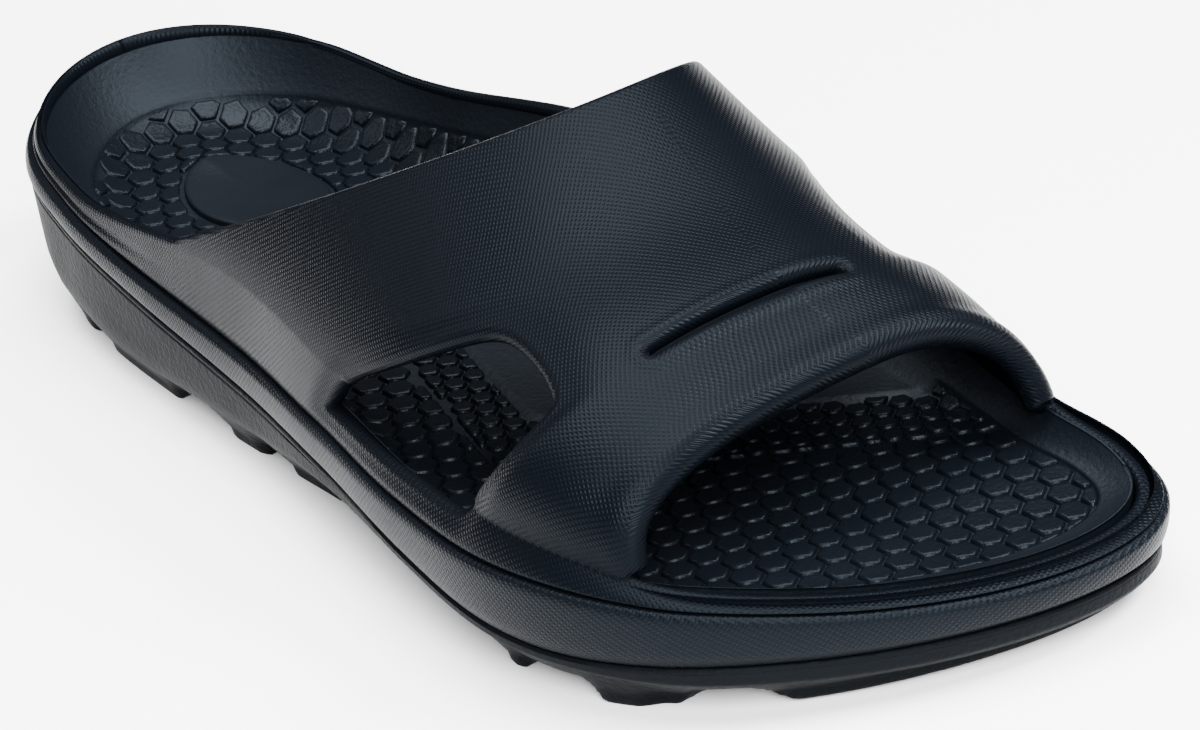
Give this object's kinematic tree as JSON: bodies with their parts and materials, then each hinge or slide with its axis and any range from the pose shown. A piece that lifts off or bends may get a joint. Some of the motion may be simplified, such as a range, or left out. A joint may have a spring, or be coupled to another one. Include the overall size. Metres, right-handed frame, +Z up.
{
  "type": "slide sandal",
  "caption": "Moulded foam slide sandal with a cupped footbed, a raised rim, one broad instep strap with side windows, and a lugged sole.",
  "frame": {"origin": "floor under the middle of the shoe's bounding box", "axes": "+X towards the toe, +Y towards the big-toe side, +Z up; the shoe stands unbent on its own sole"},
  "size_m": [0.2912, 0.1136, 0.079],
  "materials": {
    "black_foam": "satin moulded foam",
    "rough_black_foam": "matte, coarse moulded grain",
    "footbed_foam": "matte, fine leather-like grain"
  },
  "bodies": {
    "root": {"outsole": "rough_black_foam", "midsole": "black_foam", "footbed": "footbed_foam", "upper": "black_foam"}
  },
  "joints": []
}
